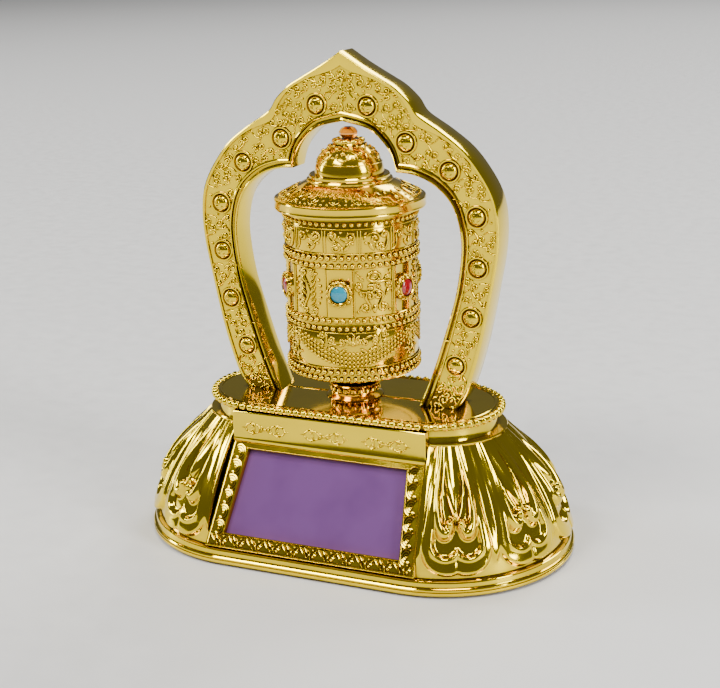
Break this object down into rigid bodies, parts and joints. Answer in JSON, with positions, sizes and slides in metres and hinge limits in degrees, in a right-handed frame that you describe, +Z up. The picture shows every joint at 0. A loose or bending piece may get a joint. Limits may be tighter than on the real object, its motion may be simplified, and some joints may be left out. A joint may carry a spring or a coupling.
{
  "type": "prayer wheel",
  "caption": "Solar-driven dashboard prayer wheel: a gold drum set with gems spins inside a studded ogee arch on a lotus base with a sloping panel.",
  "frame": {"origin": "centre of the resting plane, under the drum's axis", "axes": "+X to the viewer's right, -Y to the front where the panel faces, +Z up along the drum's axis"},
  "size_m": [0.1094, 0.064, 0.119],
  "materials": {
    "plated_gold": "vacuum-plated mirror gold over moulded ABS",
    "plated_deep_gold": "vacuum-plated deeper orange gold over moulded ABS",
    "finial_amber": "orange-gold lacquered jewel",
    "panel_cover": "violet mirror-smooth clear resin",
    "panel_cell": "dark silicon wafer",
    "turquoise_resin": "polished cabochon",
    "ruby_resin": "polished cabochon",
    "black_plastic": "fine moulded texture",
    "black_rubber": "matt",
    "steel": "bright zinc",
    "motor_steel": "drawn and plated can",
    "bush_brass": "turned",
    "gear_white": "moulded acetal",
    "board_green": "solder mask",
    "capacitor_blue": "sleeved",
    "diode_black": "moulded",
    "lead_sheath": "soft sheath",
    "roll_paper": "rolled thin paper"
  },
  "bodies": {
    "base": {"base_shell": "plated_gold", "front_window_frame": "plated_gold", "solar_cover": "panel_cover", "solar_cell": "panel_cell", "deck_plate": "plated_gold", "pedestal_collar": "plated_deep_gold", "arch_front_shell": "plated_gold", "arch_back_shell": "plated_gold", "arch_screws": "steel", "bottom_plate": "black_plastic", "rubber_feet": "black_rubber", "bottom_screws": "steel", "circuit_board": "board_green", "storage_capacitor": "capacitor_blue", "blocking_diode": "diode_black", "panel_leads": "lead_sheath", "motor_leads": "lead_sheath", "gearbox_plate": "gear_white", "gearbox_screws": "steel", "lower_thrust_bush": "bush_brass", "upper_bush": "bush_brass", "motor_can": "motor_steel", "motor_screws": "steel", "idler_axle": "steel", "idler_clip": "steel"},
    "drum": {"drum_gear": "gear_white", "drum_spindle": "steel", "drum_base_cap": "plated_gold", "drum_shell": "plated_gold", "turquoise_gems": "turquoise_resin", "ruby_gems": "ruby_resin", "prayer_roll": "roll_paper", "drum_lid": "plated_gold", "finial": "finial_amber"},
    "idler": {"idler_gear": "gear_white"},
    "motor_rotor": {"motor_shaft": "steel", "motor_pinion": "bush_brass"}
  },
  "joints": [
    {"name": "drum_spin", "type": "hinge", "parent": "base", "child": "drum", "pos_m": [0, 0, 0.04], "axis": [0, 0, 1], "continuous": true},
    {"name": "idler_spin", "type": "hinge", "parent": "base", "child": "idler", "pos_m": [0.01505, 0, 0.0204], "axis": [0, 0, 1], "continuous": true},
    {"name": "motor_spin", "type": "hinge", "parent": "base", "child": "motor_rotor", "pos_m": [0.0276, 0, 0.0204], "axis": [0, 0, 1], "continuous": true}
  ],
  "couplings": [
    {"joint": "idler_spin", "follows": "drum_spin", "ratio": -4},
    {"joint": "motor_spin", "follows": "drum_spin", "ratio": 16}
  ]
}
